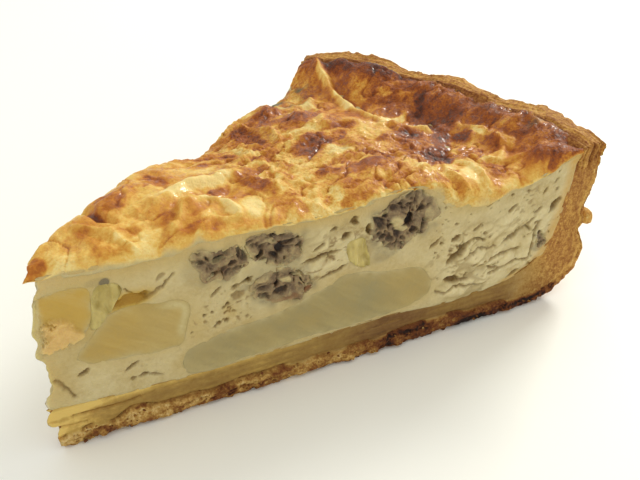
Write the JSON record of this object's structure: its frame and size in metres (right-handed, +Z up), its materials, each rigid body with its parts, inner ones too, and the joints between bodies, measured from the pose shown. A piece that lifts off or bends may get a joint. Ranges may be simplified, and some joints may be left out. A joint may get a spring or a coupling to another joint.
{
  "type": "quiche slice",
  "caption": "Wedge of deep quiche: flaky pastry shell, set custard with potato, onion and blue cheese, browned melted top.",
  "frame": {"origin": "on the flat underside, under the middle of the slice's box", "axes": "+X from the tip to the rim along the slice's centre line, +Z up, the shown cut faces -Y"},
  "size_m": [0.1122, 0.0823, 0.0379],
  "materials": {
    "pastry": "baked flaky shortcrust, browned at the edge and the underside",
    "custard": "set egg custard with fine pores, slightly moist",
    "browned_cheese": "melted cheese browned in the oven, oily sheen",
    "potato": "cooked waxy potato, smooth and slightly moist",
    "onion": "softened translucent onion",
    "blue_cheese": "crumbly, marbled grey, brown and cream"
  },
  "bodies": {
    "root": {"crust": "pastry", "custard": "custard", "melted_cheese": "browned_cheese", "potato_slab": "potato", "potato_cube": "potato", "potato_tip": "potato", "potato_back_1": "potato", "potato_back_2": "potato", "onion_strip": "onion", "onion_leaf": "onion", "blue_cheese_1": "blue_cheese", "blue_cheese_2": "blue_cheese", "blue_cheese_3": "blue_cheese", "blue_cheese_4": "blue_cheese", "blue_cheese_5": "blue_cheese", "blue_cheese_back_1": "blue_cheese", "blue_cheese_back_2": "blue_cheese"}
  },
  "joints": []
}
